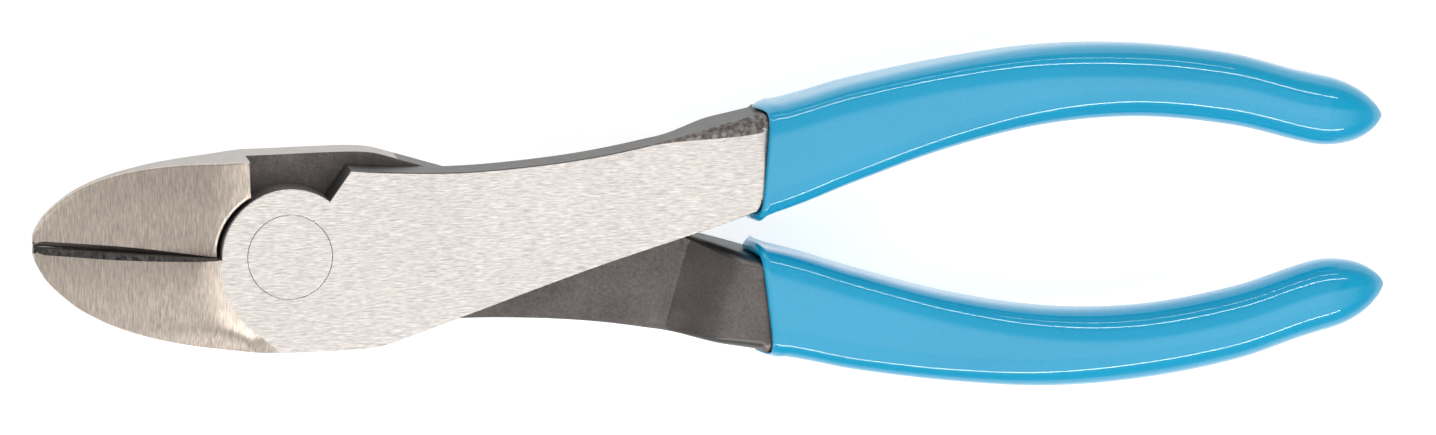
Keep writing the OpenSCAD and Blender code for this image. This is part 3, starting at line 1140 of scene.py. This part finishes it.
def plain_material(name, colour, roughness, glow):
    """An almost even finish that glows like a light table."""
    material, w, shader, place = new_material(name)
    if not w:
        return material
    grain = noise(w, place, (30, 30, 30), 2.0)
    w.put(tinted(w, colour, spread(w, grain, 0.3, 0.7, 0.995, 1.005)), shader.inputs["Base Color"])
    shader.inputs["Roughness"].default_value = roughness
    shader.inputs["Emission Color"].default_value = (1, 1, 1, 1)
    shader.inputs["Emission Strength"].default_value = glow
    return material


def add_floor():
    """Pale floor just under the lowest point of the head."""
    half = 8.0
    level = CAD_BOX[0].z - 0.1 * MM
    data = bpy.data.meshes.new("floor")
    corners = ((-half, -half), (half, -half), (half, half), (-half, half))
    data.from_pydata([(x, y, level) for x, y in corners], [], [(0, 1, 2, 3)])
    floor = bpy.data.objects.new("floor", data)
    data.materials.append(plain_material("floor_white", (0.5, 0.5, 0.5), 0.9, 0.75))
    bpy.context.scene.collection.objects.link(floor)


def add_light(name, place, aim, size, power):
    """A soft white rectangular light at a place, turned to what it lights. Sizes are in metres."""
    lamp = bpy.data.lights.new(name, "AREA")
    lamp.shape = "RECTANGLE"
    lamp.size, lamp.size_y = size
    lamp.energy = power
    holder = bpy.data.objects.new(name, lamp)
    bpy.context.scene.collection.objects.link(holder)
    holder.location = place
    holder.rotation_euler = (Vector(place) - Vector(aim)).to_track_quat("Z", "Y").to_euler()


def add_world():
    """Dim surroundings with a long bright band overhead, on the side that the lower handle lies on."""
    world = bpy.data.worlds.new("studio")
    bpy.context.scene.world = world
    world.use_nodes = True
    w = Wires(world.node_tree)
    back = world.node_tree.nodes["Background"]
    place = w.add("ShaderNodeTexCoord").outputs["Generated"]
    split = w.add("ShaderNodeSeparateXYZ")
    w.put(place, split.inputs[0])
    height = split.outputs["Z"]
    lean = w.math("DIVIDE", split.outputs["Y"], w.math("MAXIMUM", height, 0.05))
    band = spread(w, lean, -1.0, -0.85, 0.0, 1.0)
    band = w.math("MULTIPLY", band, spread(w, lean, -0.1, 0.04, 1.0, 0.0))
    band = w.math("MULTIPLY", band, spread(w, height, 0.45, 0.88, 0.15, 1.4))
    glow = w.math("ADD", band, spread(w, height, 0.0, 0.35, 0.5, 0.22))
    mix = w.add("ShaderNodeCombineColor")
    for socket, tint in zip(mix.inputs, (1.0, 0.985, 0.97)):
        w.put(w.math("MULTIPLY", glow, tint), socket)
    w.put(mix.outputs[0], back.inputs["Color"])
    back.inputs["Strength"].default_value = 1.0


def add_camera():
    """Camera above the front face, a little to the tip's side and the upper handle's side."""
    back = Vector((-0.155, 0.18, 1)).normalized()
    target = Vector((62.77, 1.79, 6)) * MM
    distance = 2.0
    roll = math.radians(2.66)
    along = Vector((1, 0, 0))
    along = (along - along.dot(back) * back).normalized()
    right = math.cos(roll) * along - math.sin(roll) * back.cross(along)
    rise = back.cross(right)
    data = bpy.data.cameras.new("camera")
    data.sensor_width = 36
    data.lens = 348.9
    data.clip_end = 50
    camera = bpy.data.objects.new("camera", data)
    bpy.context.scene.collection.objects.link(camera)
    turn = Matrix((right, rise, back)).transposed()
    camera.matrix_world = Matrix.Translation(target + back * distance) @ turn.to_4x4()
    bpy.context.scene.camera = camera


def add_stage():
    """Surroundings, floor, lights and camera."""
    add_world()
    add_floor()
    add_light("overhead", (0.1, 0.2, 1.6), (0.06, 0, 0), (1.6, 1.2), 2.4)
    add_light("crown", (-0.75, -0.55, 0.4), (0, 0, 0), (0.35, 0.35), 0.35)
    add_light("upper_strip", (0.2, 0.72, 0.9), (0.1, 0, 0), (1.4, 0.04), 4.2)
    add_light("low_strip", (0.2, 1.1, 0.6), (0.1, 0, 0), (0.9, 0.03), 1.2)
    add_light("lower_strip", (0.12, -0.8, 0.8), (0.1, 0, 0), (1.4, 0.05), 5.0)
    bpy.context.scene.view_settings.view_transform = "Standard"
    add_camera()


# ---------------------------------------------------------------- add-on


class PliersSettings(bpy.types.PropertyGroup):
    """Everything a user would change."""

    joint: PointerProperty(type=JointSize)
    head: PointerProperty(type=HeadSize)
    handle: PointerProperty(type=HandleSize)
    finish: PointerProperty(type=Finish)


class PLIERS_OT_front_half(bpy.types.Operator):
    """Build the front half, whose handle is the upper one"""

    bl_idname = "pliers.front_half"
    bl_label = "Front half"

    def execute(self, context):
        build_half(context.scene.pliers, True, "front_forging", "front", "front_half")
        return {"FINISHED"}


class PLIERS_OT_rear_half(bpy.types.Operator):
    """Build the rear half, which lies under the front one"""

    bl_idname = "pliers.rear_half"
    bl_label = "Rear half"

    def execute(self, context):
        build_half(context.scene.pliers, False, "rear_forging", "rear", "rear_half")
        return {"FINISHED"}


class PLIERS_OT_rivet(bpy.types.Operator):
    """Build the pivot rivet"""

    bl_idname = "pliers.rivet"
    bl_label = "Pivot rivet"

    def execute(self, context):
        build_rivet(context.scene.pliers)
        return {"FINISHED"}


class PLIERS_OT_grips(bpy.types.Operator):
    """Sweep both vinyl grips"""

    bl_idname = "pliers.grips"
    bl_label = "Grips"

    def execute(self, context):
        settings = context.scene.pliers
        tree, keys = sleeve_tree()
        vinyl = vinyl_material(settings)
        build_grip(settings, tree, keys, "front_sleeve", "front_grip", "front", False, vinyl)
        build_grip(settings, tree, keys, "rear_sleeve", "rear_grip", "rear", True, vinyl)
        bpy.data.node_groups.remove(tree)
        return {"FINISHED"}


class PLIERS_OT_stage(bpy.types.Operator):
    """Add the floor, the soft lights and the camera"""

    bl_idname = "pliers.stage"
    bl_label = "Stage"

    def execute(self, context):
        add_stage()
        return {"FINISHED"}


STEPS = (PLIERS_OT_rear_half, PLIERS_OT_front_half, PLIERS_OT_rivet, PLIERS_OT_grips, PLIERS_OT_stage)


class PLIERS_PT_panel(bpy.types.Panel):
    """Lists the sizes, the finishes and the steps of the build."""

    bl_idname = "PLIERS_PT_panel"
    bl_label = "Diagonal cutting pliers"
    bl_space_type = "VIEW_3D"
    bl_region_type = "UI"
    bl_category = "Pliers"

    def draw(self, context):
        settings = context.scene.pliers
        for label in ("joint", "head", "handle", "finish"):
            box = self.layout.box()
            box.label(text=label.capitalize())
            group = getattr(settings, label)
            for key in group.__annotations__:
                box.prop(group, key)
        for step in STEPS:
            self.layout.operator(step.bl_idname)


CLASSES = (JointSize, HeadSize, HandleSize, Finish, PliersSettings, *STEPS, PLIERS_PT_panel)


def register():
    for cls in CLASSES:
        bpy.utils.register_class(cls)
    bpy.types.Scene.pliers = PointerProperty(type=PliersSettings)


def unregister():
    del bpy.types.Scene.pliers
    for cls in reversed(CLASSES):
        bpy.utils.unregister_class(cls)


def main():
    register()
    bpy.ops.pliers.rear_half()
    bpy.ops.pliers.front_half()
    bpy.ops.pliers.rivet()
    bpy.ops.pliers.grips()
    bpy.ops.pliers.stage()


if __name__ == "__main__":
    main()
